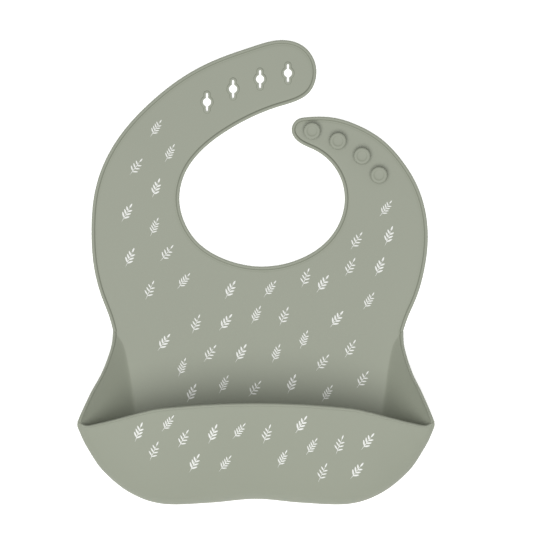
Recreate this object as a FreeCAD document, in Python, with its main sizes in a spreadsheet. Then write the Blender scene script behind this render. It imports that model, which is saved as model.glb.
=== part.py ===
import FreeCAD, Part
import math
import os

# Silicone feeding bib with a catch pocket, lying on its back.
# +Z is up out of the front face, +Y runs towards the neck, +X to the right of someone looking at
# the front. The origin is under the middle of the bounding box, on the resting face.
# Lengths are in millimetres and angles in degrees.

Vector = FreeCAD.Vector
doc = FreeCAD.newDocument("SiliconeBib")
sizes = doc.addObject("Spreadsheet::Sheet", "Sizes")

DIMENSIONS = [
    ("overall_width", 230.6, "across the two pocket corners"),
    ("overall_length", 301.4, "bottom of the pocket to the top of the long strap"),
    ("pocket_depth", 50.0, "table to the middle of the pocket lip"),
    ("sheet_thickness", 1.8, "flat sheet of the panel and straps"),
    ("wall_thickness", 2.0, "pocket walls and side wings"),
    ("bead_width", 2.3, "raised edge bead, across"),
    ("bead_height", 3.0, "raised edge bead, from the resting face"),
    ("stud_head_radius", 5.4, "button head"),
    ("stud_head_height", 2.2, "button head"),
    ("stud_stem_radius", 2.4, "stem under the button head"),
    ("stud_clearance", 0.2, "play along the stem when a strap is buttoned"),
    ("stud_chamfer", 0.6, "bevel round the button head"),
    ("stud_dish", 0.5, "depth of the dish in the button head"),
    ("hole_clearance", 0.25, "radial gap between a stem and the hole it goes through"),
    ("slit_width", 1.5, "slit where it leaves its hole"),
    ("slit_length", 11.8, "both slits and the hole, tip to tip"),
    ("collar_width", 1.5, "raised collar round each hole"),
    ("collar_height", 0.6, "raised collar, above the sheet"),
    ("knuckle_relief", 0.06, "how far the rounded edge at a fold line stays inside the sheet's faces"),
    ("knuckle_clearance", 0.2, "gap round the rounded edge at each fold line"),
    ("strap_fold", 35.0, "largest fold at each strap fold line"),
    ("chest_fold", 90.0, "largest fold at the chest fold line"),
    ("pocket_gap", 1.4, "slot along the foot of the flexing front wall"),
    ("side_gap", 0.5, "slot at each end of the flexing front wall"),
]
for row, (alias, value, note) in enumerate(DIMENSIONS, start=1):
    sizes.set("A%d" % row, alias)
    sizes.set("B%d" % row, str(value))
    sizes.set("C%d" % row, note)
    sizes.setAlias("B%d" % row, alias)
doc.recompute()


def size(alias):
    return float(sizes.get(alias))


# The outline points below are those of a bib of the nominal size, and are stretched to the sheet's.
NOMINAL_WIDTH = 230.6
NOMINAL_LENGTH = 301.4
NOMINAL_DEPTH = 50.0
stretchX = size("overall_width") / NOMINAL_WIDTH
stretchY = size("overall_length") / NOMINAL_LENGTH
stretchZ = size("pocket_depth") / NOMINAL_DEPTH
MIDDLE_Y = NOMINAL_LENGTH / 2 * stretchY

sheetThickness = size("sheet_thickness")
wallThickness = size("wall_thickness")
beadWidth = size("bead_width")
beadHeight = size("bead_height")
midSheet = sheetThickness / 2
holeRadius = size("stud_stem_radius") + size("hole_clearance")


def place(x, y, z=0.0):
    """A point of the nominal bib, measured up from its bottom edge, in the part's frame."""
    return Vector(x * stretchX, y * stretchY - MIDDLE_Y, z)


# ---- outline of the flat sheet: left edge, long strap, neck, short strap, right edge ----
LEFT_EDGE = [(-92.7, 113), (-95.2, 122), (-99.4, 133), (-104.7, 152), (-106.7, 178), (-104.3, 204),
             (-97.8, 223.2), (-85.7, 242.7), (-67.2, 262.1), (-47, 277.7), (-24.5, 289.3), (-2.1, 297.2)]
LONG_TIP = (18.4, 280.6, 20.8, [92, 55, 20, -12, -40])
NECK_EDGE = [(27, 262.3), (14.6, 258.2), (3.8, 254.3), (-18.6, 242.7), (-35.4, 229.7), (-45.2, 216.8),
             (-49.7, 197.5), (-46.9, 184.4), (-38.9, 171.4), (-18.5, 158.6), (3.9, 154.5), (26.2, 158.6),
             (46.3, 171.4), (54.7, 184.4), (57.5, 197.5), (55.5, 210.3), (47.4, 223.2), (37.8, 230.2)]
SHORT_TIP = (31.4, 243, 8.3, [235, 180, 125, 85])
RIGHT_EDGE = [(52.3, 250.7), (64.8, 246.7), (82.6, 236.2), (94.7, 223.2), (102.9, 210.3), (108.1, 197.3),
              (111.4, 175), (109, 152), (103.4, 133), (98.6, 122), (95.5, 113)]

# Pocket and wings, left half, from the waist to the middle. Each station has the panel's edge
# (x, y), the widest point of the wall (x, y, z), the rim above it (x, y, z), and how much
# further out the right side's panel edge and wall stand.
STATIONS = [
    ((-92.7, 113), (-92.7, 113, 1.6), (-92.7, 113, 1.6), 2.8, 2.8),
    ((-86.0, 104), (-93.9, 102, 5.5), (-93.9, 102, 5.5), 2.9, 2.2),
    ((-82.0, 88), (-99.3, 86.5, 14), (-99.3, 86.5, 14), 3.2, 1.4),
    ((-79.0, 70), (-107.3, 71.5, 25), (-107.3, 71.5, 25), 3.6, 0.5),
    ((-77.0, 57), (-114.4, 54.6, 36), (-114.4, 54.6, 36), 3.0, 0),
    ((-74.0, 45), (-112.9, 47, 32.5), (-109.5, 51.8, 36.8), 2.0, 0),
    ((-69.0, 36), (-107.6, 36.4, 28), (-99, 53.7, 38.5), 1.0, 0),
    ((-61.0, 29), (-97.7, 22.2, 23), (-86, 57, 41), 0, 0),
    ((-54.0, 22), (-80.6, 8.6, 20), (-72.5, 60.5, 43.7), 0, 0),
    ((-44.0, 18), (-60, 1.7, 18.3), (-60, 62.9, 45.8), 0, 0),
    ((-22.0, 15), (-30, 2.4, 17.5), (-30, 65.3, 48.9), 0, 0),
    ((0, 14), (0, 4.9, 17.5), (0, 66.1, 50), 0, 0),
]
WAIST_STATION = 0.12
CORNER_STATION = 4
FLEX_STATION = 9
MIDDLE_STATION = 11
FOOT_LIFT = 0.08     # keeps the wing's foot, which tilts a little, above the resting face
LEAN = 0.39          # slope of the front wall where it reaches the lip


def spline(points):
    curve = Part.BSplineCurve()
    curve.interpolate(points)
    return curve


def tipPoints(tip):
    x, y, radius, angles = tip
    return [(x + radius * math.cos(math.radians(a)), y + radius * math.sin(math.radians(a))) for a in angles]


def sheetEdge():
    """The free edge, from the left waist round both straps and the neck to the right waist."""
    pairs = LEFT_EDGE + tipPoints(LONG_TIP) + NECK_EDGE + tipPoints(SHORT_TIP) + RIGHT_EDGE
    return [place(x, y) for x, y in pairs]


def mirrored(station):
    edge, wall, rim, edgeLean, wallLean = station
    return ((-edge[0] + edgeLean, edge[1]), (-wall[0] + wallLean, wall[1], wall[2]),
            (-rim[0] + wallLean, rim[1], rim[2]), 0, 0)


# Stations from the left waist through the middle to the right waist.
ALL_STATIONS = STATIONS + [mirrored(station) for station in reversed(STATIONS[:-1])]


def panelFoot():
    """The line where the pocket walls leave the flat panel."""
    return [place(*station[0]) for station in ALL_STATIONS]


def moved(points, distance):
    """The open line of points moved sideways, to the right of its direction of travel."""
    result = []
    last = len(points) - 1
    for i, point in enumerate(points):
        along = points[min(i + 1, last)] - points[max(i - 1, 0)]
        side = Vector(along.y, -along.x, 0).normalize()
        result.append(point + side * distance)
    return result


def originPlane(body, role):
    return [feature for feature in body.Origin.OriginFeatures if feature.Role == role][0]


def sketchOn(body, name, role="XY_Plane", height=None):
    sketch = body.newObject("Sketcher::SketchObject", name)
    sketch.AttachmentSupport = [(originPlane(body, role), "")]
    sketch.MapMode = "FlatFace"
    if height:
        sketch.setExpression("AttachmentOffset.Base.z", height)
    return sketch


def closedOutline(sketch, curves):
    for curve in curves:
        sketch.addGeometry(curve, False)


# ---- button holes and studs along the two straps ----
HOLES = [(-31.8, 261.1), (-14.9, 269.6), (2.6, 276.0), (20.7, 279.9)]
STUDS = [(36.3, 242.4), (53.1, 235.9), (68.7, 226.2), (79.7, 213.8)]


def keyhole(centre, radius, halfWidth, tip):
    """A round hole with a slit above and below that narrows to a point."""
    rise = math.sqrt(radius ** 2 - halfWidth ** 2)
    top = centre + Vector(0, tip, 0)
    bottom = centre - Vector(0, tip, 0)
    corners = [centre + Vector(x * halfWidth, y * rise, 0) for x, y in ((-1, 1), (-1, -1), (1, -1), (1, 1))]
    return [Part.LineSegment(top, corners[0]),
            Part.Arc(corners[0], centre - Vector(radius, 0, 0), corners[1]),
            Part.LineSegment(corners[1], bottom),
            Part.LineSegment(bottom, corners[2]),
            Part.Arc(corners[2], centre + Vector(radius, 0, 0), corners[3]),
            Part.LineSegment(corners[3], top)]


def buttonHole(centre, margin=0.0):
    slope = 2 * margin
    return keyhole(centre, holeRadius + margin, size("slit_width") / 2 + margin, size("slit_length") / 2 + slope)


# ---- the flat sheet in one piece, which the fold lines then divide ----
blank = doc.addObject("PartDesign::Body", "Blank")
blank.Label = "flat_sheet"
outline = sketchOn(blank, "Outline")
edge = sheetEdge()
foot = panelFoot()
closedOutline(outline, [spline(edge), spline(list(reversed(foot)))])
pad = blank.newObject("PartDesign::Pad", "SheetAndBead")
pad.Profile = outline
pad.setExpression("Length", "Sizes.bead_height")
doc.recompute()

inset = sketchOn(blank, "InsideBead", height="Sizes.sheet_thickness")
insideEdge = moved(edge, beadWidth)
outsideFoot = moved(foot, 2 * beadWidth)
outsideFoot[0] = insideEdge[0]
outsideFoot[-1] = insideEdge[-1]
closedOutline(inset, [spline(insideEdge), spline(list(reversed(outsideFoot)))])
recess = blank.newObject("PartDesign::Pocket", "Recess")
recess.Profile = inset
recess.Reversed = True
recess.setExpression("Length", "Sizes.bead_height")

openings = sketchOn(blank, "ButtonHoles")
for x, y in HOLES:
    closedOutline(openings, buttonHole(place(x, y)))
cut = blank.newObject("PartDesign::Pocket", "HoleCuts")
cut.Profile = openings
cut.Reversed = True
cut.setExpression("Length", "Sizes.bead_height")
doc.recompute()

# ---- fold lines ----
NECK_CENTRE = place(3.9, 197.8)


class FoldLine:
    """A fold line across the sheet: the parent's edge is rounded on the axis, the child's is hollow."""

    def __init__(self, name, centre, angle, fold, span, reach):
        self.name = name
        self.centre = Vector(centre.x, centre.y, midSheet)
        self.axis = Vector(math.cos(math.radians(angle)), math.sin(math.radians(angle)), 0)
        self.onward = Vector(self.axis.y, -self.axis.x, 0) if fold > 0 else Vector(-self.axis.y, self.axis.x, 0)
        self.fold = abs(fold)
        self.span = span
        self.reach = reach

    def roller(self, radius):
        start = self.centre + self.axis * self.span[0]
        return Part.makeCylinder(radius, self.span[1] - self.span[0], start, self.axis)

    def side(self, direction, reach):
        """A block on one side of the fold line, bevelled up and down from the axis by half the fold."""
        height = 3 * beadHeight
        bevel = height * math.tan(math.radians(self.fold / 2 + 1))
        start = self.centre + self.axis * self.span[0]
        steps = [(0, 0), (bevel, height), (reach, height), (reach, -height), (bevel, -height), (0, 0)]
        corners = [start + self.onward * (direction * step) + Vector(0, 0, rise) for step, rise in steps]
        return Part.Face(Part.makePolygon(corners)).extrude(self.axis * (self.span[1] - self.span[0]))

    def parentBlock(self):
        return self.side(-1, self.reach[0]).fuse(self.roller(knuckleRadius))

    def childBlock(self):
        return self.side(1, self.reach[1]).cut(self.roller(knuckleRadius + size("knuckle_clearance")))


def block(name, shape):
    feature = doc.addObject("Part::Feature", name)
    feature.Shape = shape
    return feature


knuckleRadius = midSheet - size("knuckle_relief")
strapFold = size("strap_fold")
insideScale = min(stretchX, stretchY)
outsideScale = max(stretchX, stretchY)


def foldLine(name, centre, angle, fold, inside, outside, back, on):
    """A fold line whose span and reach grow with the sheet, so they keep to their own strap."""
    return FoldLine(name, centre, angle, fold, (inside * insideScale, outside * outsideScale),
                    (back * outsideScale, on * outsideScale))


def tipLimit(tip, direction, side):
    """How far from the neck's centre a strap's round tip reaches: side 1 is far, side -1 is near."""
    x, y, radius, angles = tip
    toTip = place(x, y) - NECK_CENTRE
    return toTip.dot(direction) + side * radius * math.hypot(stretchX * direction.x, stretchY * direction.y)


chestLine = foldLine("chest", place(0, 118), 180, size("chest_fold"), -160, 160, 200, 320)
chestLine.span = (-160 * outsideScale, 160 * outsideScale)
longLines = [foldLine("long_1", NECK_CENTRE, 168, strapFold, -45, 130, 140, 70),
             foldLine("long_2", NECK_CENTRE, 139, strapFold, 25, 130, 70, 70),
             foldLine("long_3", NECK_CENTRE, 112, strapFold, 46, 130, 70, 120)]
shortLines = [foldLine("short_1", NECK_CENTRE, -6, -strapFold, -45, 130, 140, 70),
              foldLine("short_2", NECK_CENTRE, 18, -strapFold, 25, 130, 60, 60),
              foldLine("short_3", NECK_CENTRE, 46, -strapFold, 25, 90, 60, 0)]
lastLine = shortLines[-1]
tipGap = (tipLimit(SHORT_TIP, lastLine.onward, 1) + tipLimit(LONG_TIP, lastLine.onward, -1)) / 2
lastLine.reach = (lastLine.reach[0], tipGap)

nodes = []


def sheetPiece(label, blocks):
    """One piece of the flat sheet: what it shares with each of the blocks at its fold lines."""
    piece = doc.addObject("Part::MultiCommon", label)
    piece.Label = label
    piece.Shapes = [blank] + [block(label + "_block%d" % i, shape) for i, shape in enumerate(blocks)]
    nodes.append(piece)
    return piece


sheetPiece("lower_panel", [chestLine.parentBlock()])
sheetPiece("upper_panel", [chestLine.childBlock(), longLines[0].parentBlock().fuse(shortLines[0].parentBlock())])
for strap, lines in (("long_strap", longLines), ("short_strap", shortLines)):
    for i, line in enumerate(lines):
        blocks = [line.childBlock()]
        if i + 1 < len(lines):
            blocks.append(lines[i + 1].parentBlock())
        sheetPiece("%s_%d" % (strap, i + 1), blocks)


# ---- pocket walls and wings ----
def catmull(a, b, c, d, f):
    """The point a share f of the way from b to c on the smooth line through a, b, c and d."""
    return (b * 2 + (c - a) * f + (a * 2 - b * 5 + c * 4 - d) * f ** 2 + (b * 3 - a - c * 3 + d) * f ** 3) * 0.5


def alongStations(column, w, first, last):
    """Where the smooth line through one column of the stations is at w, counted in stations."""
    w = min(max(w, first), last)
    i = min(int(w), last - 1)
    points = []
    for j in (i - 1, i, i + 1, i + 2):
        values = ALL_STATIONS[min(max(j, first), last)][column]
        height = values[2] * stretchZ if len(values) > 2 else wallThickness / 2 + FOOT_LIFT
        points.append(place(values[0], values[1], height))
    return catmull(*points, w - i)


def wallPoint(w, t):
    """A point of the lower wall: t is 0 at the panel's edge and 1 at the wall's widest point."""
    last = 2 * MIDDLE_STATION
    foot = alongStations(0, w, 0, last)
    wide = alongStations(1, w, 0, last)
    rounding = min(max((min(w, last - w) - CORNER_STATION + 1) / 4.0, 0.0), 1.0)
    rounding = rounding * rounding * (3 - 2 * rounding)
    crease = 0.12
    straight = (math.sqrt(t * t + crease ** 2) - crease) / (math.sqrt(1 + crease ** 2) - crease)
    across = (1 - rounding) * t + rounding * math.sin(t * math.pi / 2)
    rise = (1 - rounding) * straight + rounding * (1 - math.cos(t * math.pi / 2))
    point = foot + (wide - foot) * across
    point.z = foot.z + (wide.z - foot.z) * rise
    return point


def frontPoint(w, t):
    """A point of the front wall: t is 0 at the widest point and 1 at the lip."""
    low = alongStations(1, w, CORNER_STATION, 2 * MIDDLE_STATION - CORNER_STATION)
    lip = alongStations(2, w, CORNER_STATION, 2 * MIDDLE_STATION - CORNER_STATION)
    bend = Vector(low.x, low.y, lip.z - LEAN * math.hypot(lip.x - low.x, lip.y - low.y))
    bend.z = max(bend.z, low.z + 0.3 * (lip.z - low.z))
    return low * (1 - t) ** 2 + bend * (2 * t * (1 - t)) + lip * t ** 2


def surfaceNormal(formula, w, t):
    step = 0.01
    alongW = formula(w + step, t) - formula(w - step, t)
    alongT = formula(w, t + step) - formula(w, t - step)
    return alongW.cross(alongT).normalize()


def shellPiece(label, formula, wRange, tRange, sections, steps=8):
    """A wall of even thickness about a surface given by a formula, lofted from section to section."""
    wires = []
    caps = []
    for i in range(sections + 1):
        w = wRange[0] + (wRange[1] - wRange[0]) * i / sections
        shares = [tRange[0] + (tRange[1] - tRange[0]) * j / steps for j in range(steps + 1)]
        middle = [(formula(w, t), surfaceNormal(formula, w, t) * (wallThickness / 2)) for t in shares]
        outside = [point + normal for point, normal in middle]
        inside = [point - normal for point, normal in middle]
        wires.append(Part.Wire([spline(outside).toShape(),
                                Part.makeLine(outside[-1], inside[-1]),
                                spline(list(reversed(inside))).toShape(),
                                Part.makeLine(inside[0], outside[0])]))
        if i in (0, sections):
            caps.append(Part.makeRuledSurface(spline(outside).toShape(), spline(inside).toShape()))
    shell = Part.Shell(Part.makeLoft(wires, False).Faces + caps)
    shell.sewShape()
    solid = Part.Solid(shell)
    if solid.Volume < 0:
        solid.reverse()
    piece = doc.addObject("Part::Feature", label)
    piece.Label = label
    piece.Shape = solid
    return piece


last = 2 * MIDDLE_STATION
footShare = 0.03
nodes.append(shellPiece("wing_left", wallPoint, (WAIST_STATION, CORNER_STATION), (footShare, 1), 8))
nodes.append(shellPiece("wing_right", wallPoint, (last - CORNER_STATION, last - WAIST_STATION), (footShare, 1), 8))
footSlope = 2 * 0.3 * (ALL_STATIONS[MIDDLE_STATION][2][2] - ALL_STATIONS[MIDDLE_STATION][1][2]) * stretchZ
frontShare = size("pocket_gap") / footSlope
flexSpacing = (ALL_STATIONS[FLEX_STATION + 1][1][0] - ALL_STATIONS[FLEX_STATION][1][0]) * stretchX
gapShare = size("side_gap") / flexSpacing
nodes.append(shellPiece("pocket_front", frontPoint, (FLEX_STATION + gapShare, last - FLEX_STATION - gapShare),
                        (frontShare, 1), 8))
cornerStart = CORNER_STATION + 0.3
cornerFoot = 0.02
floor = shellPiece("floor_untrimmed", wallPoint, (CORNER_STATION, last - CORNER_STATION), (footShare, 1), 28)
for side, wRange in (("left", (cornerStart, FLEX_STATION)), ("right", (last - FLEX_STATION, last - cornerStart))):
    corner = shellPiece("pocket_corner_" + side, frontPoint, wRange, (cornerFoot, 1), 10)
    nodes.append(corner)
    trimmed = doc.addObject("Part::Cut", "FloorTrim_" + side)
    trimmed.Base = floor
    trimmed.Tool = corner
    floor = trimmed
floor.Label = "pocket_floor"
nodes.append(floor)


# ---- studs: a button head on a stem ----
def stud(number, centre):
    body = doc.addObject("PartDesign::Body", "Stud%d" % number)
    body.Label = "stud_%d" % number
    profile = sketchOn(body, "StudProfile%d" % number, "XZ_Plane")
    stem, head = size("stud_stem_radius"), size("stud_head_radius")
    under = sheetThickness + size("collar_height") + size("stud_clearance")
    top = under + size("stud_head_height")
    bevel = size("stud_chamfer")
    dish = size("stud_dish")
    rim = head * 0.62
    corners = [Vector(0, 0, 0), Vector(stem, 0, 0), Vector(stem, under, 0), Vector(head, under, 0),
               Vector(head, top - bevel, 0), Vector(head - bevel, top, 0), Vector(rim, top, 0),
               Vector(rim - dish, top - dish, 0), Vector(0, top - dish, 0)]
    for a, b in zip(corners, corners[1:] + corners[:1]):
        profile.addGeometry(Part.LineSegment(a, b), False)
    turned = body.newObject("PartDesign::Revolution", "StudTurned%d" % number)
    turned.Profile = profile
    turned.ReferenceAxis = (profile, ["V_Axis"])
    turned.Angle = 360
    body.Placement = FreeCAD.Placement(Vector(centre.x, centre.y, 0), FreeCAD.Rotation())
    body.setExpression("Placement.Base.z", "Sizes.sheet_thickness")
    nodes.append(body)


# ---- collars: a raised rim round each button hole ----
def collar(number, centre):
    body = doc.addObject("PartDesign::Body", "Collar%d" % number)
    body.Label = "hole_collar_%d" % number
    outer = sketchOn(body, "CollarOutline%d" % number)
    closedOutline(outer, buttonHole(Vector(0, 0, 0), size("collar_width")))
    closedOutline(outer, buttonHole(Vector(0, 0, 0)))
    raised = body.newObject("PartDesign::Pad", "CollarPad%d" % number)
    raised.Profile = outer
    raised.setExpression("Length", "Sizes.collar_height")
    body.Placement = FreeCAD.Placement(Vector(centre.x, centre.y, 0), FreeCAD.Rotation())
    body.setExpression("Placement.Base.z", "Sizes.sheet_thickness")
    nodes.append(body)


for number, (x, y) in enumerate(STUDS, start=1):
    stud(number, place(x, y))
for number, (x, y) in enumerate(HOLES, start=1):
    collar(number, place(x, y))
doc.recompute()

# ---- check and write ----
for item in doc.Objects:
    if "Invalid" in item.State or "Error" in item.State:
        raise RuntimeError("%s failed" % item.Label)
os.makedirs("parts", exist_ok=True)
for node in nodes:
    if node.Shape.isNull() or not node.Shape.isValid() or len(node.Shape.Solids) != 1:
        raise RuntimeError("%s has no single valid solid: %d" % (node.Label, len(node.Shape.Solids)))
    node.Shape.exportStep("parts/%s.step" % node.Label)
    box = node.Shape.BoundBox
    print("%-20s %9.1f mm3  x %7.1f %7.1f  y %7.1f %7.1f  z %5.2f %5.2f" % (
        node.Label, node.Shape.Volume, box.XMin, box.XMax, box.YMin, box.YMax, box.ZMin, box.ZMax))
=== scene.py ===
import math
import bmesh
import bpy
import numpy as np
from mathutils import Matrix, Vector


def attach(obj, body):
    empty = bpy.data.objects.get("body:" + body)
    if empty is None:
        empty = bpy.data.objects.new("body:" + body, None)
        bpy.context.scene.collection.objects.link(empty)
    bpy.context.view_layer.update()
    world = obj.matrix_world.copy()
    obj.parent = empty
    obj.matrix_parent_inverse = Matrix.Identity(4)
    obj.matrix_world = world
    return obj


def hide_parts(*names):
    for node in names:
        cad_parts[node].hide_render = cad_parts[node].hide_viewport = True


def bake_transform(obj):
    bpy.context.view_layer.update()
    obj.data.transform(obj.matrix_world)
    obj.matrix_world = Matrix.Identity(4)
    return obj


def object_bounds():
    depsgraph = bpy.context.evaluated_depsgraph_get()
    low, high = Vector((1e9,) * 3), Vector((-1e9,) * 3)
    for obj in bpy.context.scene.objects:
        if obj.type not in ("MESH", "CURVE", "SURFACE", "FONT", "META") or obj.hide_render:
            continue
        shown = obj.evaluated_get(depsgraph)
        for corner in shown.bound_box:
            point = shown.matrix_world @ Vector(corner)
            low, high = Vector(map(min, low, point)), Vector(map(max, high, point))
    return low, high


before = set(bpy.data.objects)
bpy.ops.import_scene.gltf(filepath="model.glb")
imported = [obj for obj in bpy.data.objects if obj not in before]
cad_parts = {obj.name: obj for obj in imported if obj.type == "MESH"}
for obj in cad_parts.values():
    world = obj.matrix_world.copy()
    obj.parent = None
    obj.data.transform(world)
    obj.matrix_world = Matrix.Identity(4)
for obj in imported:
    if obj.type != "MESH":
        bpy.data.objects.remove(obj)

# A silicone feeding bib on its back on a table. Shapes are worked out in millimetres in the bib's own
# outline coordinates (y up from the bottom of the pocket) and put into the frame in metres.
cadLow, cadHigh = [np.array(corner, float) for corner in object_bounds()]
mm = 0.001
nominalBox = np.array([231.47, 301.11, 50.94])  # the box that these outlines fill
stretch = (cadHigh - cadLow) / (nominalBox * mm)
middleY = 150.7  # outline height at the frame's origin

bib = {
    "sheet": 1.8,             # thickness of the panel and straps
    "rowStep": 1.6,           # spacing of the mesh rows along the straps
    "strapCells": 14,         # mesh cells from a strap's edge bead to its middle
    "tipCells": 12,
    "bellyCells": 30,
    "waistY": 113,            # where the wings begin
    "levelReach": 6,          # height above the waist over which the belly's rows turn level
    "outlineSamples": 6000,
}
# From the free edge inwards: distance from the edge and height above the resting face.
edgeBead = np.array([(0, 0.5), (0, 1.2), (0, 2.0), (0.07, 2.42), (0.28, 2.74), (0.62, 2.94), (1.05, 3.0),
                     (1.5, 2.94), (1.86, 2.74), (2.1, 2.4), (2.25, 1.95), (2.45, 1.66), (2.75, 1.6),
                     (3.2, 1.72), (3.8, 1.8)])
lipRim = np.array([(0, 0.5), (0, 1.0), (0, 1.6), (0.07, 1.95), (0.24, 2.2), (0.5, 2.35), (0.8, 2.4),
                   (1.1, 2.35), (1.35, 2.2), (1.55, 2.0), (1.75, 1.87), (1.95, 1.82), (2.3, 1.8),
                   (3.0, 1.8), (3.8, 1.8)])
backCorner = np.array([(0, 0.44), (0, 0.38), (0.02, 0.3), (0.06, 0.22), (0.12, 0.14), (0.2, 0.08),
                       (0.3, 0.03), (0.42, 0), (0.7, 0), (1.1, 0), (1.6, 0), (2.1, 0), (2.6, 0), (3.2, 0),
                       (3.8, 0)])

leftEdge = [(-92.7, 113), (-95.2, 122), (-99.4, 133), (-104.7, 152), (-106.7, 178), (-104.3, 204),
            (-97.8, 223.2), (-85.7, 242.7), (-67.2, 262.1), (-47, 277.7), (-24.5, 289.3), (-2.1, 297.2)]
longTip = (18.4, 280.6, 20.8, [92, 55, 20, -12, -40])
neckEdge = [(27, 262.3), (14.6, 258.2), (3.8, 254.3), (-18.6, 242.7), (-35.4, 229.7), (-45.2, 216.8),
            (-49.7, 197.5), (-46.9, 184.4), (-38.9, 171.4), (-18.5, 158.6), (3.9, 154.5), (26.2, 158.6),
            (46.3, 171.4), (54.7, 184.4), (57.5, 197.5), (55.5, 210.3), (47.4, 223.2), (37.8, 230.2)]
shortTip = (31.4, 243, 8.3, [235, 180, 125, 85])
rightEdge = [(52.3, 250.7), (64.8, 246.7), (82.6, 236.2), (94.7, 223.2), (102.9, 210.3), (108.1, 197.3),
             (111.4, 175), (109, 152), (103.4, 133), (98.6, 122), (95.5, 113)]
neckCentre = np.array([3.9, 197.8])
neckBottom = np.array([3.9, 154.5])
longCuts, shortCuts = (154, 126), (6, 32)  # seams across the straps, in degrees about the neck's centre
longTurn = ((17.7, 301.4), (14.6, 258.2))  # where each strap's round end begins, outside and inside
shortTurn = ((40, 252), (30, 235))
shortTipMark = (27.4, 250)

# Pocket and wings from the left waist to the middle: the panel's edge (x, y), the widest point of
# the wall (x, y, z), the rim (x, y, z), and how much further out the right side stands.
stations = [
    ((-92.7, 113), (-92.7, 113, 0.9), (-92.7, 113, 0.9), 2.8, 2.8),
    ((-86.0, 104), (-93.9, 102, 5.5), (-93.9, 102, 5.5), 2.9, 2.2),
    ((-82.0, 88), (-99.3, 86.5, 14), (-99.3, 86.5, 14), 3.2, 1.4),
    ((-79.0, 70), (-107.3, 71.5, 25), (-107.3, 71.5, 25), 3.6, 0.5),
    ((-77.0, 57), (-114.4, 54.6, 36), (-114.4, 54.6, 36), 3.0, 0),
    ((-74.0, 45), (-112.9, 47, 32.5), (-109.5, 51.8, 36.8), 2.0, 0),
    ((-69.0, 36), (-107.6, 36.4, 28), (-99, 53.7, 38.5), 1.0, 0),
    ((-61.0, 29), (-97.7, 22.2, 23), (-86, 57, 41), 0, 0),
    ((-54.0, 22), (-80.6, 8.6, 20), (-72.5, 60.5, 43.7), 0, 0),
    ((-44.0, 18), (-60, 1.7, 18.3), (-60, 62.9, 45.8), 0, 0),
    ((-22.0, 15), (-30, 2.4, 17.5), (-30, 65.3, 48.9), 0, 0),
    ((0, 14), (0, 4.9, 17.5), (0, 66.1, 50), 0, 0),
]
middleStation = 11
cornerStation = 4
lastStation = 2 * middleStation


# Outline millimetres to frame metres.
def toFrame(points):
    points = np.asarray(points, float)
    return (points - [0, middleY, 0]) * mm * stretch


# The natural cubic spline through points: second derivatives from the tridiagonal system, with
# the parameter growing by the distance from point to point.
def naturalSpline(points, count):
    points = np.asarray(points, float)
    step = np.linalg.norm(np.diff(points, axis=0), axis=1)
    knots = np.concatenate([[0], np.cumsum(step)])
    size = len(points)
    system = np.eye(size)
    right = np.zeros_like(points)
    inner = np.arange(1, size - 1)
    system[inner, inner - 1] = step[:-1]
    system[inner, inner] = 2 * (step[:-1] + step[1:])
    system[inner, inner + 1] = step[1:]
    slope = np.diff(points, axis=0) / step[:, None]
    right[1:-1] = 6 * np.diff(slope, axis=0)
    second = np.linalg.solve(system, right)
    at = np.linspace(0, knots[-1], count)
    i = np.clip(np.searchsorted(knots, at, side="right") - 1, 0, size - 2)
    length = step[i][:, None]
    b = (at - knots[i])[:, None] / length
    a = 1 - b
    bend = ((a ** 3 - a) * second[i] + (b ** 3 - b) * second[i + 1]) * length ** 2 / 6
    return a * points[i] + b * points[i + 1] + bend


# Distance along a polyline at each of its points, from the first.
def runLengths(line):
    return np.concatenate([[0], np.cumsum(np.linalg.norm(np.diff(line, axis=0), axis=1))])


# The Catmull-Rom line through one column of all the stations, at parameters w.
def stationLine(column, w, first=0, final=lastStation):
    w = np.clip(np.asarray(w, float), first, final)
    i = np.minimum(w.astype(int), final - 1)
    f = (w - i)[..., None]
    a, b, c, d = [stationTable[column][np.clip(i + k, first, final)] for k in (-1, 0, 1, 2)]
    square = (2 * a - 5 * b + 4 * c - d) * f ** 2
    cube = (3 * b - a - 3 * c + d) * f ** 3
    return 0.5 * (2 * b + (c - a) * f + square + cube)


# A left station's twin on the right: x changes sign and moves by the station's own lean.
def mirrored(station):
    foot, wide, rim, footLean, wallLean = station
    return ((-foot[0] + footLean, foot[1]), (-wide[0] + wallLean, wide[1], wide[2]),
            (-rim[0] + wallLean, rim[1], rim[2]))


both = [station[:3] for station in stations] + [mirrored(station) for station in reversed(stations[:-1])]
stationTable = [np.array([list(row[0]) + [bib["sheet"] / 2] for row in both]),
                np.array([row[1] for row in both], float),
                np.array([row[2] for row in both], float)]


# Points of a strap's round end: centre plus radius times the cosine and sine of each angle.
def circlePoints(tip):
    x, y, radius, angles = tip
    turns = [math.radians(a) for a in angles]
    return [(x + radius * math.cos(a), y + radius * math.sin(a)) for a in turns]


edgeMarks = leftEdge + circlePoints(longTip) + neckEdge + circlePoints(shortTip) + rightEdge
outline = naturalSpline(edgeMarks, bib["outlineSamples"])


# The outline sample nearest to a point.
def nearest(x, y):
    return int(np.argmin(np.hypot(outline[:, 0] - x, outline[:, 1] - y)))


# The outline sample between two others that stands at an angle about the neck's centre.
def atAngle(angle, first, final):
    part = outline[first:final] - neckCentre
    turn = np.degrees(np.arctan2(part[:, 1], part[:, 0])) - angle
    return first + int(np.argmin(np.abs((turn + 180) % 360 - 180)))


def addObject(name, data):
    piece = bpy.data.objects.new(name, data)
    bpy.context.scene.collection.objects.link(piece)
    return piece


mergeWithin = 2e-6  # metres
leastEdge = 1e-6
smoothUpTo = 48     # degrees between faces


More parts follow.
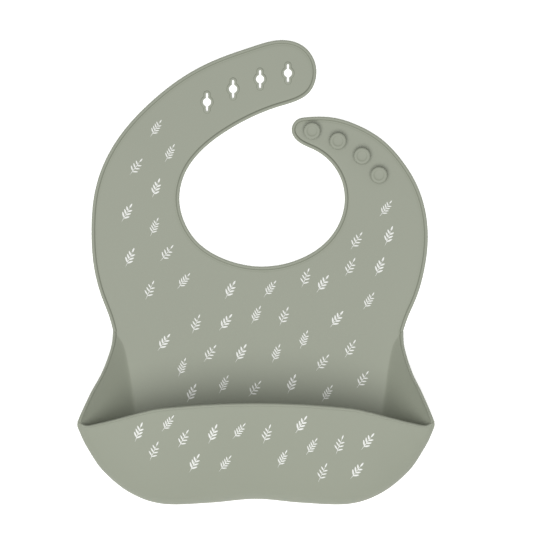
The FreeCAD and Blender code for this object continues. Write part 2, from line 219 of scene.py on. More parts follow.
# A mesh object from points in metres: doubles merged, faces outwards, smooth but for sharp corners.
def finishMesh(name, points, faces, sharp=smoothUpTo):
    mesh = bpy.data.meshes.new(name)
    mesh.from_pydata(points.reshape(-1, 3).tolist(), [], faces)
    work = bmesh.new()
    work.from_mesh(mesh)
    bmesh.ops.remove_doubles(work, verts=work.verts, dist=mergeWithin)
    bmesh.ops.dissolve_degenerate(work, edges=work.edges, dist=leastEdge)
    if work.calc_volume(signed=True) < 0:
        bmesh.ops.reverse_faces(work, faces=work.faces)
    work.to_mesh(mesh)
    work.free()
    mesh.polygons.foreach_set("use_smooth", np.ones(len(mesh.polygons), bool))
    mesh.set_sharp_from_angle(angle=math.radians(sharp))
    return addObject(name, mesh)


# An array's rows at fractional indices.
def pick(array, index):
    rows = np.arange(len(array))
    return np.stack([np.interp(index, rows, column) for column in array.T], axis=1)


# Vectors divided by their lengths.
def unit(vectors):
    return vectors / np.maximum(np.linalg.norm(vectors, axis=-1), 1e-9)[..., None]


tangent = np.gradient(outline, axis=0)
inward = unit(np.stack([tangent[:, 1], -tangent[:, 0]], axis=1))
sampleStep = runLengths(outline)[-1] / (len(outline) - 1)


# 0 up to the first value, 1 from the second, and a smooth rise between them.
def ease(value, low, high):
    share = np.clip((value - low) / (high - low), 0, 1)
    return share * share * (3 - 2 * share)


# A closed mesh from the front and back points of each row, the first column on the free edge. With
# openInside no wall joins front and back at the last column, where the rows of both sides meet.
def sheetMesh(name, front, back, openInside=False):
    grid = np.concatenate([front, back[:, ::-1]], axis=1)
    rows, columns = grid.shape[:2]
    half = columns // 2
    index = np.arange(rows * columns).reshape(rows, columns)
    onward = np.roll(index, -1, axis=1)
    quads = np.stack([index[:-1], onward[:-1], onward[1:], index[1:]], axis=-1)
    if openInside:
        quads = np.delete(quads, half - 1, axis=1)
    j = np.arange(half - 1)
    cap = np.stack([j, columns - 1 - j, columns - 2 - j, j + 1], axis=-1)
    faces = [quads.reshape(-1, 4), cap, cap[:, ::-1] + index[-1, 0]]
    return finishMesh(name, grid.reshape(-1, 3), np.concatenate(faces).tolist())


# Columns near a flat free edge: the edge moved inwards by the profile's distance, at its height.
def edgeColumns(edge, normal, profile):
    moved = edge[:, None, :] + normal[:, None, :] * profile[None, :, 0, None]
    height = np.broadcast_to(profile[None, :, 1, None], moved.shape[:2] + (1,))
    return np.concatenate([moved, height], axis=2)


# Columns on the straight line from one line of points to another, ends left out.
def between(first, second, count, height):
    share = np.linspace(0, 1, count + 2)[1:-1][None, :, None]
    flat = first[:, None, :] * (1 - share) + second[:, None, :] * share
    return np.concatenate([flat, np.full(flat.shape[:2] + (1,), height)], axis=2)


# One column of flat points, all at one height.
def atHeight(points, height):
    return np.concatenate([points, np.full((len(points), 1), height)], axis=1)[:, None, :]


# Front and back rows of a flat strip from one free edge over a middle line to the other.
def stripRows(outer, outerNormal, inner, innerNormal, middle, count):
    deep = edgeBead[-1, 0]
    outerSide, innerSide = outer + outerNormal * deep, inner + innerNormal * deep
    layers = []
    for profile, height in ((edgeBead, bib["sheet"]), (backCorner, 0.0)):
        layers.append(np.concatenate([
            edgeColumns(outer, outerNormal, profile), between(outerSide, middle, count, height),
            atHeight(middle, height), between(middle, innerSide, count, height),
            edgeColumns(inner, innerNormal, profile)[:, ::-1]], axis=1))
    return toFrame(layers[0]), toFrame(layers[1])


# Matching outline indices for the two edges of a strip, evenly spaced between its keys.
def rowIndices(outerKeys, innerKeys):
    outers, inners = [], []
    for k in range(len(outerKeys) - 1):
        span = max(abs(outerKeys[k + 1] - outerKeys[k]), abs(innerKeys[k + 1] - innerKeys[k]))
        count = max(int(span * sampleStep / bib["rowStep"]), 3)
        skip = 0 if k == 0 else 1
        outers.append(np.linspace(outerKeys[k], outerKeys[k + 1], count)[skip:])
        inners.append(np.linspace(innerKeys[k], innerKeys[k + 1], count)[skip:])
    return np.concatenate(outers), np.concatenate(inners)


# The line halfway between the inner borders of the two edge beads.
def middleLine(outers, inners):
    sides = [pick(outline, index) + unit(pick(inward, index)) * edgeBead[-1, 0]
             for index in (outers, inners)]
    return (sides[0] + sides[1]) / 2


# A length of strap between two pairs of outline keys, one pair at each end.
def strip(name, outerKeys, innerKeys):
    outers, inners = rowIndices(outerKeys, innerKeys)
    outer, inner = pick(outline, outers), pick(outline, inners)
    outerNormal, innerNormal = unit(pick(inward, outers)), unit(pick(inward, inners))
    middle = middleLine(outers, inners)
    return sheetMesh(name, *stripRows(outer, outerNormal, inner, innerNormal, middle, bib["strapCells"]))


# The rounded end of a strap: rows from the free edge in to a middle line, which ends inside the tip.
def tipStrip(name, outerKeys, innerKeys):
    outers, inners = rowIndices(outerKeys, innerKeys)
    middle = middleLine(outers, inners)
    tipRows = int(abs(innerKeys[-1] - outerKeys[-1]) * sampleStep / bib["rowStep"] * 2)
    around = np.linspace(outerKeys[-1], innerKeys[-1], tipRows)[1:-1]
    index = np.concatenate([outers, around, inners[::-1]])
    spine = np.concatenate([middle, np.repeat(middle[-1:], len(around), axis=0), middle[::-1]])
    edge, normal = pick(outline, index), unit(pick(inward, index))
    side = edge + normal * edgeBead[-1, 0]
    layers = [toFrame(np.concatenate([edgeColumns(edge, normal, profile),
                                      between(side, spine, bib["tipCells"], height),
                                      atHeight(spine, height)], axis=1))
              for profile, height in ((edgeBead, bib["sheet"]), (backCorner, 0.0))]
    return sheetMesh(name, layers[0], layers[1], openInside=True)


waistLeft, waistRight = nearest(*leftEdge[3]), nearest(*rightEdge[7])
neckLow = nearest(*neckBottom)
longTipIndex = nearest(longTip[0] + longTip[2], longTip[1])
shortTipIndex = nearest(*shortTipMark)
longOuter = [atAngle(a, waistLeft, longTipIndex) for a in longCuts]
longInner = [atAngle(a, longTipIndex, neckLow) for a in longCuts]
shortOuter = [atAngle(a, shortTipIndex, waistRight) for a in shortCuts]
shortInner = [atAngle(a, neckLow, shortTipIndex) for a in shortCuts]
longTurns, shortTurns = [[nearest(*mark) for mark in marks] for marks in (longTurn, shortTurn)]

leftShoulder = strip("leftShoulder", [waistLeft, longOuter[0]], [neckLow, longInner[0]])
longMiddle = strip("longMiddle", longOuter, longInner)
longEnd = tipStrip("longEnd", [longOuter[1], longTurns[0]], [longInner[1], longTurns[1]])
rightShoulder = strip("rightShoulder", [waistRight, shortOuter[0]], [neckLow, shortInner[0]])
shortMiddle = strip("shortMiddle", shortOuter, shortInner)
shortEnd = tipStrip("shortEnd", [shortOuter[1], shortTurns[0]], [shortInner[1], shortTurns[1]])

# The belly: full-width rows from the neck's bottom down to the waist. At the waist its edge columns
# turn level, as the first row of the lower body has them.
lefts, rights = rowIndices([waistLeft, 0], [waistRight, len(outline) - 1])
left, right = pick(outline, lefts), pick(outline, rights)
level = ease(left[:, 1:2], bib["waistY"] + bib["levelReach"], bib["waistY"])
leftNormal = unit(pick(inward, lefts) * (1 - level) + np.array([1, 0]) * level)
rightNormal = unit(pick(inward, rights) * (1 - level) - np.array([1, 0]) * level)
bellyTop = outline[neckLow] + inward[neckLow] * edgeBead[-1, 0]
bellyMiddle = np.stack([np.full(len(left), bellyTop[0]),
                        bellyTop[1] + (left[-1, 1] - bellyTop[1]) * (left[0, 1] - left[:, 1])
                        / (left[0, 1] - left[-1, 1])], axis=1)
belly = sheetMesh("belly", *stripRows(left, leftNormal, right, rightNormal, bellyMiddle, bib["bellyCells"]))
print("stage: flat sheet")

pocket = {
    "crease": 0.1,            # roundness of the fold between the panel and a wing
    "lean": 0.39,             # slope of the front wall where it reaches the lip
    "leastBend": 0.3,         # lowest place of the front wall's bend, as a share of its rise
    "roundFrom": 1,           # stations before the corner where the foot starts to turn round
    "roundTo": 3,             # stations after the corner where it is a quarter of an ellipse
    "wingStart": 1.2,         # stations over which a wing begins to rise
    "rimThins": (0.2, 1.6),   # stations over which the edge bead becomes the wing's rim
    "middle": (1.4, 48),      # middle line of the floor at the pocket's deepest row (x, y)
    "middleFall": (-2.0, 7.5),  # stations over which the middle line comes down from the waist
    "rowsPerStation": 14,
    "frontRows": 110,         # rows in each half of the front wall
    "wallSteps": 70,
    "frontSteps": 60,
    "floorSteps": 40,
    "cells": (30, 10),        # mesh cells across the wall and its fold, and across the flat floor
    "frontCells": 34,
    "pastCrease": 6,          # distance past the fold that the fine cells go on
    "seamTurn": 3.0,          # distance over which a wall's normal turns into the seam's
    "lipRoom": 1.6,           # a lip narrower than this many rim widths has its rim squeezed
    "cornerGap": 0.05,        # stations between the corner and the front wall's first row
    "joinBefore": 0.5,        # stations before and after the corner between which the wall's rim
    "joinAfter": 0.15,        # becomes the seam with the front wall
}


# A point of the lower wall's middle surface: w is the place along the edge, counted in stations, and
# t goes from 0 at the panel's edge to 1 at the wall's widest point. Beside the panel the wall is a
# straight slope with a rounded foot, and under the pocket a quarter of an ellipse.
def wallPoint(w, t):
    foot, wide = stationLine(0, w), stationLine(1, w)
    aside = np.minimum(w, lastStation - w)
    rounding = ease(aside, cornerStation - pocket["roundFrom"], cornerStation + pocket["roundTo"])[..., None]
    c = pocket["crease"]
    t = t[..., None]
    straight = (np.sqrt(t * t + c * c) - c) / (math.sqrt(1 + c * c) - c)
    across = (1 - rounding) * t + rounding * np.sin(t * math.pi / 2)
    rise = (1 - rounding) * straight + rounding * (1 - np.cos(t * math.pi / 2))
    rise = rise * ease(aside, -pocket["wingStart"], pocket["wingStart"])[..., None]
    level = foot + (wide - foot) * across
    return np.concatenate([level[..., :2], foot[..., 2:] + (wide - foot)[..., 2:] * rise], axis=-1)


# A point of the front wall's middle surface: t goes from 0 at the widest point to 1 at the lip, on a
# parabola whose bend stands above the widest point.
def frontPoint(w, t):
    first, final = cornerStation, lastStation - cornerStation
    low, lip = stationLine(1, w, first, final), stationLine(2, w, first, final)
    reach = np.linalg.norm((lip - low)[..., :2], axis=-1)
    height = np.maximum(lip[..., 2] - pocket["lean"] * reach,
                        low[..., 2] + pocket["leastBend"] * (lip - low)[..., 2])
    bend = np.concatenate([low[..., :2], height[..., None]], axis=-1)
    t = t[..., None]
    return low * (1 - t) ** 2 + bend * (2 * t * (1 - t)) + lip * t ** 2


# Unit normals of a surface given as a grid of points.
def gridNormals(grid):
    across = np.cross(np.gradient(grid, axis=0), np.gradient(grid, axis=1))
    return unit(across)


# Each row of values sampled at that row's distances.
def byDistance(runs, values, distances):
    return np.stack([np.stack([np.interp(d, run, row[:, k]) for k in range(row.shape[1])], axis=1)
                     for run, row, d in zip(runs, values, distances)])


# Distance along each row of a grid of points.
def rowRuns(grid):
    steps = np.linalg.norm(np.diff(grid, axis=1), axis=2)
    return np.concatenate([np.zeros((len(grid), 1)), np.cumsum(steps, axis=1)], axis=1)


# Evenly spaced values from low to high in each row, the first left out.
def shares(low, high, count):
    part = np.linspace(0, 1, count + 1)[1:]
    return low[:, None] + (high - low)[:, None] * part[None, :]


wallW = np.linspace(0, lastStation, lastStation * pocket["rowsPerStation"] + 1)
frontStart = cornerStation + pocket["cornerGap"]
frontW = np.linspace(frontStart, lastStation - frontStart, 2 * pocket["frontRows"] + 1)
wallT = np.linspace(1, 0, pocket["wallSteps"])

# Middle surfaces, then the direction out of the bib along the seam where wall and front wall meet.
# The normals are turned to point up, as they do in the middle of the bib.
wallW2, wallT2 = np.meshgrid(wallW, wallT, indexing="ij")
wall = wallPoint(wallW2, wallT2)
frontW2, frontT2 = np.meshgrid(frontW, np.linspace(1, 0, pocket["frontSteps"]), indexing="ij")
front = frontPoint(frontW2, frontT2)
frontNormal = gridNormals(front)
frontNormal *= np.sign(frontNormal[len(frontW) // 2, 20, 2])
wallNormal = gridNormals(wall)
wallNormal *= np.sign(wallNormal[len(wallW) // 2, -2, 2])
wallNormal[0] = wallNormal[-1] = (0, 0, 1)
wallNormal[:, -1] = (0, 0, 1)
seamFront = np.stack([np.interp(wallW, frontW, frontNormal[:, -2, k]) for k in range(3)], axis=1)
seamOut = unit(seamFront - wallNormal[:, 1])
aside = np.minimum(wallW, lastStation - wallW)
joinedFrom, joinedTo = cornerStation - pocket["joinBefore"], cornerStation + pocket["joinAfter"]
joined = ease(aside, joinedFrom, joinedTo)[:, None, None]

# The lower body: wings, the pocket's floor and the panel between them, in rows from the rim inwards.
middleX, deepestY = pocket["middle"]
fall = ease(aside, *pocket["middleFall"])
fall = (fall - fall[0]) / (fall.max() - fall[0])
centreY = bib["waistY"] - (bib["waistY"] - deepestY) * fall
centre = np.stack([np.full(len(wallW), middleX), centreY, np.full(len(wallW), bib["sheet"] / 2)], axis=1)
share = np.linspace(0, 1, pocket["floorSteps"] + 1)[1:][None, :, None]
flat = wall[:, -1:, :] * (1 - share) + centre[:, None, :] * share
path = np.concatenate([wall, flat], axis=1)
pathNormal = np.concatenate([wallNormal, np.broadcast_to([0.0, 0.0, 1.0], flat.shape)], axis=1)
runs = rowRuns(path)
deep = edgeBead[-1, 0]
creaseRun = runs[:, len(wallT) - 1]
bodyBend = np.maximum(creaseRun, deep) + pocket["pastCrease"]
thin = ease(aside, *pocket["rimThins"])[:, None]
wingRim = edgeBead[None] * (1 - thin[:, :, None]) + lipRim[None] * thin[:, :, None]
distances = np.concatenate([wingRim[:, :, 0],
                            shares(np.full(len(wallW), deep), bodyBend, pocket["cells"][0]),
                            shares(bodyBend, runs[:, -1], pocket["cells"][1])], axis=1)
points = byDistance(runs, path, distances)
normals = unit(byDistance(runs, pathNormal, distances))
nearSeam = ease(distances, pocket["seamTurn"], 0.0)[..., None] * joined
normals = unit(normals * (1 - nearSeam) - seamOut[:, None, :] * nearSeam)
topHeight = np.full(distances.shape, bib["sheet"])
topHeight[:, :len(edgeBead)] = wingRim[:, :, 1]
flatTop = np.minimum(topHeight, bib["sheet"])
lowHeight = np.zeros(distances.shape[1])
lowHeight[:len(backCorner)] = backCorner[:, 1]
upperLift = topHeight[:, :, None] * (1 - joined) + flatTop[:, :, None] * joined
lowerLift = lowHeight[None, :, None] * (1 - joined)
lowDistances = distances.copy()
lowDistances[:, :len(backCorner)] = backCorner[None, :, 0]
lowPoints = byDistance(runs, path, lowDistances)
half = bib["sheet"] / 2
lowerBody = sheetMesh("lowerBody", toFrame(points + normals * (upperLift - half)),
                      toFrame(lowPoints + normals * (lowerLift - half)), openInside=True)

# The front wall, in rows from the lip down to the seam, as two halves.
frontRuns = rowRuns(front)
room = np.clip(frontRuns[:, -1] / (deep * pocket["lipRoom"]), 0, 1)
lipDistances = lipRim[None, :, 0] * room[:, None]
lipBack = backCorner[None, :, 0] * room[:, None]
rest = shares(deep * room, frontRuns[:, -1], pocket["frontCells"])
outDistances = np.concatenate([lipDistances, rest], axis=1)
inDistances = np.concatenate([lipBack, rest], axis=1)
outNormals = unit(byDistance(frontRuns, frontNormal, outDistances))
fromSeam = frontRuns[:, -1:] - outDistances
frontSeam = np.stack([np.interp(frontW, wallW, seamOut[:, k]) for k in range(3)], axis=1)
nearSeam = ease(fromSeam, pocket["seamTurn"], 0.0)[..., None]
outNormals = unit(outNormals * (1 - nearSeam) + unit(frontSeam)[:, None, :] * nearSeam)
lipTop = np.full(outDistances.shape[1], bib["sheet"])
lipTop[:len(lipRim)] = lipRim[:, 1]
lipLow = np.zeros(outDistances.shape[1])
lipLow[:len(backCorner)] = backCorner[:, 1]
outside = byDistance(frontRuns, front, outDistances) + outNormals * (lipTop[None, :, None] - half)
inside = byDistance(frontRuns, front, inDistances) + outNormals * (lipLow[None, :, None] - half)
middleRow = len(frontW) // 2
frontLeft = sheetMesh("frontLeft", toFrame(outside[:middleRow + 1]), toFrame(inside[:middleRow + 1]))
frontRight = sheetMesh("frontRight", toFrame(outside[middleRow:]), toFrame(inside[middleRow:]))
print("stage: pocket")

# Button holes and studs. Heights are above the resting face.
buttons = {
    "holes": [(-31.8, 261.1), (-14.9, 269.6), (2.6, 276.0), (20.7, 279.9)],
    "studs": [(36.3, 242.4), (53.1, 235.9), (68.7, 226.2), (79.7, 213.8)],
    "holeRadius": 2.65,
    "slitHalf": 0.75,
    "slitReach": 5.15,
    "collar": np.array([(0, 1.5), (0, 2.2), (0.1, 2.36), (0.3, 2.4), (1.1, 2.4), (1.35, 2.34), (1.5, 2.15),
                        (1.56, 1.85), (1.58, 1.6)]),
    "headRadius": 5.4,
    "stemRadius": 2.4,
    "under": 4.4,             # the underside of the head
    "top": 6.6,
    "cut": (-2.0, 5.0),       # heights between which a hole is cut
    "holeSides": 240,
    "studSides": 96,
    "smoothUpTo": 40,
}


# The edge of a button hole grown by a margin: at each angle the further of a circle and a round-ended
# slit that runs up and down.
def holeRadii(angle, margin):
    circle = buttons["holeRadius"] + margin
    wide, reach = buttons["slitHalf"] + margin, buttons["slitReach"]
    side, up = np.abs(np.cos(angle)), np.abs(np.sin(angle))
    straight = wide / np.maximum(side, 1e-6)
    rounded = reach * up + np.sqrt(np.maximum(wide ** 2 - (reach * side) ** 2, 0))
    slit = np.where(straight * up <= reach, straight, rounded)
    return np.maximum(circle, slit)


holeTurn = np.linspace(0, 2 * math.pi, buttons["holeSides"] + 1)[:-1]
rim = np.stack([np.cos(holeTurn), np.sin(holeTurn)], axis=1)


# A closed body of rings: each ring is a row of points round a centre.
def ringMesh(name, rings, closed=False):
    count, size = rings.shape[:2]
    index = np.arange(count * size).reshape(count, size)
    onward = np.roll(index, -1, axis=1)
    follow = np.roll(index, -1, axis=0), np.roll(onward, -1, axis=0)
    rowEnd = count if closed else count - 1
    faces = np.stack([index, onward, follow[1], follow[0]], axis=-1)[:rowEnd].reshape(-1, 4).tolist()
    if not closed:
        faces += [index[0][::-1].tolist(), index[-1].tolist()]
    return finishMesh(name, toFrame(rings), faces, buttons["smoothUpTo"])


# The edge of a hole, grown by a margin, at a height.
def holeRing(centre, margin, height):
    flat = np.array(centre) + rim * holeRadii(holeTurn, margin)[:, None]
    return np.concatenate([flat, np.full((len(flat), 1), height)], axis=1)


cutters = []
collars = []
for number, centre in enumerate(buttons["holes"], start=1):
    cutter = ringMesh("cutter%d" % number, np.stack([holeRing(centre, 0, h) for h in buttons["cut"]]))
    cut = longEnd.modifiers.new("hole%d" % number, "BOOLEAN")
    cut.object = cutter
    cut.solver = "EXACT"
    cutters.append(cutter)
    collars.append(ringMesh("collar%d" % number,
                            np.stack([holeRing(centre, m, h) for m, h in buttons["collar"]]), True))
graph = bpy.context.evaluated_depsgraph_get()
pierced = bpy.data.meshes.new_from_object(longEnd.evaluated_get(graph))
longEnd.modifiers.clear()
longEnd.data = pierced
for cutter in cutters:
    bpy.data.objects.remove(cutter)

# A stud's half section, from the foot of the stem to the middle of the dished head.
stem, head = buttons["stemRadius"], buttons["headRadius"]
under, top = buttons["under"], buttons["top"]
studLine = np.array([(stem, 1.0), (stem, 2.2), (stem, under - 0.25), (stem + 0.2, under),
                     (head - 0.35, under), (head - 0.1, under + 0.1), (head, under + 0.35),
                     (head, top - 0.75), (head - 0.08, top - 0.5),
                     (head - 0.35, top - 0.2), (head - 0.7, top - 0.05), (head - 1.05, top),
                     (3.75, top), (3.5, top - 0.04), (3.25, top - 0.16), (2.95, top - 0.3),
                     (2.6, top - 0.36), (2.0, top - 0.4), (1.0, top - 0.42), (0.02, top - 0.42)])
turn = np.linspace(0, 2 * math.pi, buttons["studSides"] + 1)[:-1]
studs = []
for number, (x, y) in enumerate(buttons["studs"], start=1):
    rings = np.stack([np.stack([x + r * np.cos(turn), y + r * np.sin(turn), np.full(len(turn), z)],
                               axis=1) for r, z in studLine])
    studs.append(ringMesh("stud%d" % number, rings))
print("stage: buttons")

# Printed sprigs: places in outline millimetres, for each sheet they are printed on.
sprigs = {
    "leftShoulder": [(-84, 189), (-66, 180), (-58, 163), (-82, 160)],
    "longMiddle": [(-56, 228), (-78, 219), (-65, 205), (-65, 244)],
    "rightShoulder": [(65, 171), (86, 174), (84, 192), (61, 154), (80, 154)],
    "belly": [(-47, 145), (-69, 139), (-17, 139), (9, 140), (32, 147), (43, 143), (73, 132), (-39, 117),
              (-20, 118), (0, 123), (18, 122), (52, 120)],
    "lowerBody": [(31, 107), (61, 101), (-60, 105), (-48, 89), (-30, 98), (-10, 98), (13, 98), (43, 92),
                  (-42, 72), (-21, 78), (-1, 75), (23, 78), (46, 72), (69, 81)],
    "frontLeft": [(-76, 47), (-57, 53), (-47, 43), (-28, 46), (-11, 48), (-66, 35), (-40, 27), (-20, 27)],
    "frontRight": [(7, 46), (29, 52), (36, 38), (54, 39), (72, 41), (17, 30), (43, 21), (65, 22)],
}
sprig = {
    "length": 12.8,
    # Pairs of leaves, leaf length, leaf width, and spread in degrees.
    "kinds": [(3, 4.1, 1.15, 44), (4, 3.5, 0.8, 50), (3, 3.8, 0.9, 54)],
    "lean": 30,               # degrees to the right
    "sway": 9,                # degrees either way, from one sprig to the next
    "swayStep": 2.3,
    "stem": 0.4,
    "stemShare": 0.92,        # the stem's length and foot, as shares of the sprig's length
    "stemFoot": 0.52,
    "firstPair": -0.27,       # place of the lowest pair, and how far up the others spread
    "pairReach": 0.58,
    "stagger": 0.25,          # how much higher the right leaf of a pair stands than its middle
    "taper": 0.3,
    "topLeaf": 0.85,
    "topPlace": 0.3,
    "ink": 0.06,              # thickness above and below the sheet's face
    "steepest": 0.2,          # faces whose normals rise less than this carry no print
    "leafSides": 12,
}
leafAngles = np.linspace(0, 2 * math.pi, sprig["leafSides"] + 1)[:-1]


# A pointed leaf or a stem as a closed outline: half a cosine runs along its length, and a sine that
# is pinched towards both ends gives its width.
def blade(length, width):
    along = (1 - np.cos(leafAngles)) / 2
    across = np.sin(leafAngles) * (0.35 + 0.65 * np.abs(np.sin(leafAngles))) / 2
    return np.stack([across * width, along * length], axis=1)


# Flat points turned about the origin.
def turned(points, degrees):
    a = math.radians(degrees)
    spin = np.array([(math.cos(a), -math.sin(a)), (math.sin(a), math.cos(a))])
    return points @ spin.T


# One sprig: a stem with pairs of leaves that get smaller towards the top, and a leaf at the end. There
# are three kinds, which take turns.
def sprigShape(number):
    pairs, leaf, width, spread = sprig["kinds"][number % len(sprig["kinds"])]
    length = sprig["length"]
    shapes = [blade(length * sprig["stemShare"], sprig["stem"]) - [0, length * sprig["stemFoot"]]]
    for k in range(pairs):
        share = k / pairs
        foot = np.array([0, (sprig["firstPair"] + sprig["pairReach"] * share) * length])
        shape = blade(leaf * (1 - sprig["taper"] * share), width)
        for side in (-1, 1):
            shapes.append(turned(shape, side * spread) + foot + [0, sprig["stagger"] * side])
    shapes.append(blade(leaf * sprig["topLeaf"], width) + [0, length * sprig["topPlace"]])
    lean = -sprig["lean"] + sprig["sway"] * math.sin(number * sprig["swayStep"])
    return turned(np.concatenate(shapes), lean)


# The height of the pocket's front face under points: that of the nearest sample's tangent plane.
def frontHeights(points):
    flatGrid, normals = outside.reshape(-1, 3), outNormals.reshape(-1, 3)
    usable = normals[:, 2] > sprig["steepest"]
    flatGrid, normals = flatGrid[usable], normals[usable]
    apart = ((points[:, None, :] - flatGrid[None, :, :2]) ** 2).sum(axis=2)
    nearestOne = np.argmin(apart, axis=1)
    base, normal = flatGrid[nearestOne], normals[nearestOne]
    return base[:, 2] - ((points - base[:, :2]) * normal[:, :2]).sum(axis=1) / normal[:, 2]


# All the sprigs of one sheet as a mesh of thin closed plates.
def printMesh(name, places, first, onFront):
    flatPoints = np.concatenate([sprigShape(first + k) + place for k, place in enumerate(places)])
    height = frontHeights(flatPoints) if onFront else np.full(len(flatPoints), bib["sheet"])
    ink, size = sprig["ink"], len(leafAngles)
    count = len(flatPoints) // size
    upper = np.concatenate([flatPoints, (height + ink)[:, None]], axis=1)
    lower = np.concatenate([flatPoints, (height - ink)[:, None]], axis=1)
    index = np.arange(len(flatPoints)).reshape(count, size)
    onward = np.roll(index, -1, axis=1)
    below = len(flatPoints)
    sides = np.stack([index, index + below, onward + below, onward], axis=-1).reshape(-1, 4)
    faces = index.tolist() + (index[:, ::-1] + below).tolist() + sides.tolist()
    mesh = bpy.data.meshes.new(name)
    mesh.from_pydata(toFrame(np.concatenate([upper, lower])).tolist(), [], faces)
    return addObject(name, mesh)


prints = {}
first = 0
for host, places in sprigs.items():
    prints[host] = printMesh("print" + host[0].upper() + host[1:], places, first, host.startswith("front"))
    first += len(places)
print("stage: print")


# A material of one colour and roughness, to build on.
def shader(name, colour, roughness):
    material = bpy.data.materials.new(name)
    material.use_nodes = True
    principled = material.node_tree.nodes["Principled BSDF"]
    principled.inputs["Base Color"].default_value = (*colour, 1)
    principled.inputs["Roughness"].default_value = roughness
    return material, principled


finish = {
    "sage": (0.298, 0.318, 0.254),
    "sageRoughness": 0.55,
    "sageGloss": 0.35,
    "mottle": 0.025,          # how much lighter and darker the broad, faint patches are
    "mottleScale": 14,
    "mottleDetail": 3,
    "grainScale": 1800,
    "grainStrength": 0.06,
    "grainDepth": 0.0002,     # metres
    "ink": (0.78, 0.79, 0.76),
    "inkRoughness": 0.6,
    "floor": (0.9, 0.9, 0.9),
    "floorRoughness": 0.9,
}
# The silicone: broad faint patches of tone from one noise, a fine matt grain in the bump from another.
silicone, siliconeShader = shader("silicone", finish["sage"], finish["sageRoughness"])
siliconeShader.inputs["Specular IOR Level"].default_value = finish["sageGloss"]
nodes, links = silicone.node_tree.nodes, silicone.node_tree.links
coordinates = nodes.new("ShaderNodeTexCoord")
mottle = nodes.new("ShaderNodeTexNoise")
mottle.inputs["Scale"].default_value = finish["mottleScale"]
mottle.inputs["Detail"].default_value = finish["mottleDetail"]
links.new(coordinates.outputs["Object"], mottle.inputs["Vector"])
tone = nodes.new("ShaderNodeMix")
tone.data_type = "RGBA"
for socket, change in (("A", -finish["mottle"]), ("B", finish["mottle"])):
    tone.inputs[socket].default_value = (*[c * (1 + change) for c in finish["sage"]], 1)
links.new(mottle.outputs["Fac"], tone.inputs["Factor"])
links.new(tone.outputs["Result"], siliconeShader.inputs["Base Color"])
grain = nodes.new("ShaderNodeTexNoise")
grain.inputs["Scale"].default_value = finish["grainScale"]
links.new(coordinates.outputs["Object"], grain.inputs["Vector"])
bump = nodes.new("ShaderNodeBump")
bump.inputs["Strength"].default_value = finish["grainStrength"]
bump.inputs["Distance"].default_value = finish["grainDepth"]
links.new(grain.outputs["Fac"], bump.inputs["Height"])
links.new(bump.outputs["Normal"], siliconeShader.inputs["Normal"])
ink = shader("ink", finish["ink"], finish["inkRoughness"])[0]

sheets = [leftShoulder, longMiddle, longEnd, rightShoulder, shortMiddle, shortEnd, belly, lowerBody,
          frontLeft, frontRight] + studs + collars
for piece in sheets:
    piece.data.materials.clear()
    piece.data.materials.append(silicone)
for piece in prints.values():
    piece.data.materials.append(ink)

# Which bodies each bending sheet would follow and the strip on each side of its fold line; the sheets are
# only baked in place here, and the lower body, its print, the collars and the studs follow their bodies.
foldCentre = toFrame([(neckCentre[0], neckCentre[1], bib["sheet"] / 2)])[0]


# The strip about a strap's fold line: both sides of the line at an angle about the neck's centre.
def foldSpan(angle, side, reach):
    a = math.radians(angle)
    onward = side * np.array([math.sin(a), -math.cos(a), 0]) * reach * mm
    return foldCentre - onward, foldCentre + onward


chestSpan = (toFrame([(0, 113.5, 0)])[0], toFrame([(0, 122.5, 0)])[0])
leftSpan, rightSpan = ((-0.095, 0, 0), (-0.035, 0, 0)), ((0.095, 0, 0), (0.035, 0, 0))
bends = {
    "leftShoulder": ("chest", "long_strap_a", foldSpan(168, 1, 10)),
    "longMiddle": ("long_strap_a", "long_strap_b", foldSpan(139, 1, 10)),
    "longEnd": ("long_strap_b", "long_strap_c", foldSpan(112, 1, 4.8)),
    "rightShoulder": ("chest", "short_strap_a", foldSpan(-6, -1, 8)),
    "shortMiddle": ("short_strap_a", "short_strap_b", foldSpan(18, -1, 4.5)),
    "shortEnd": ("short_strap_b", "short_strap_c", foldSpan(46, -1, 4.5)),
    "belly": ("body", "chest", chestSpan),
    "frontLeft": ("body", "pocket_front", leftSpan),
    "frontRight": ("body", "pocket_front", rightSpan),
}
for host, (a, b, (start, end)) in bends.items():
    for piece in [bpy.data.objects[host]] + ([prints[host]] if host in prints else []):
        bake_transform(piece)
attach(lowerBody, "body")
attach(prints["lowerBody"], "body")
for piece, bodyName in zip(collars, ("long_strap_b", "long_strap_c", "long_strap_c", "long_strap_c")):
    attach(piece, bodyName)
for piece, bodyName in zip(studs, ("short_strap_c", "short_strap_b", "short_strap_b", "short_strap_a")):
    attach(piece, bodyName)

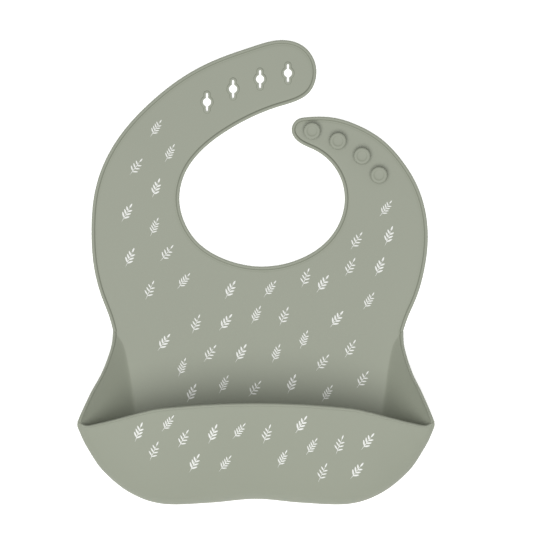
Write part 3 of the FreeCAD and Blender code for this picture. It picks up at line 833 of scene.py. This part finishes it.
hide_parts("lower_panel", "wing_left", "wing_right", "pocket_floor")
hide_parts("upper_panel")
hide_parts("long_strap_1")
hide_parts("long_strap_2")
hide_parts("long_strap_3")
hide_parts("short_strap_1")
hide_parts("short_strap_2")
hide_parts("short_strap_3")
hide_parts("pocket_front", "pocket_corner_left")
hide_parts("pocket_corner_right")
for number in range(len(studs)):
    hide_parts("stud_%d" % (number + 1))
    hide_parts("hole_collar_%d" % (number + 1))

# Floor, light and camera.
view = {
    "centre": (0.01555, -0.0049),
    "width": 0.3629,
    "lens": 1200,
    "lampPlace": (-0.15, -0.65, 3.0),
    "lampSize": 3.0,
    "lampPower": 96,
    "sky": 0.26,
    "floorGlow": 0.5,
    "floorSize": 8,
    "floorDrop": 0.0002,      # keeps the floor clear of the resting face
    "lensAbove": 0.01,
    "farthest": 100,
}
bpy.ops.mesh.primitive_plane_add(size=view["floorSize"], location=(0, 0, -view["floorDrop"]))
floor = bpy.context.object
floor.name = "floor"
floorPaint, floorShader = shader("floorPaint", finish["floor"], finish["floorRoughness"])
floorShader.inputs["Emission Color"].default_value = (1, 1, 1, 1)
floorShader.inputs["Emission Strength"].default_value = view["floorGlow"]
floor.data.materials.append(floorPaint)
bpy.context.scene.view_settings.view_transform = "Standard"
lamp = bpy.data.lights.new("lamp", "AREA")
lamp.shape = "DISK"
lamp.size = view["lampSize"]
lamp.energy = view["lampPower"]
lampObject = addObject("lamp", lamp)
lampObject.location = view["lampPlace"]
lampObject.rotation_euler = Vector(view["lampPlace"]).to_track_quat("Z", "Y").to_euler()
lampObject.visible_camera = False
world = bpy.data.worlds.new("sky")
world.use_nodes = True
background = world.node_tree.nodes["Background"]
background.inputs["Color"].default_value = (1, 1, 1, 1)
background.inputs["Strength"].default_value = view["sky"]
bpy.context.scene.world = world
lens = bpy.data.cameras.new("camera")
lens.lens = view["lens"]
lens.clip_end = view["farthest"]
camera = addObject("camera", lens)
camera.location = (*view["centre"], view["width"] * view["lens"] / lens.sensor_width + view["lensAbove"])
bpy.context.scene.camera = camera
print("stage: scene")
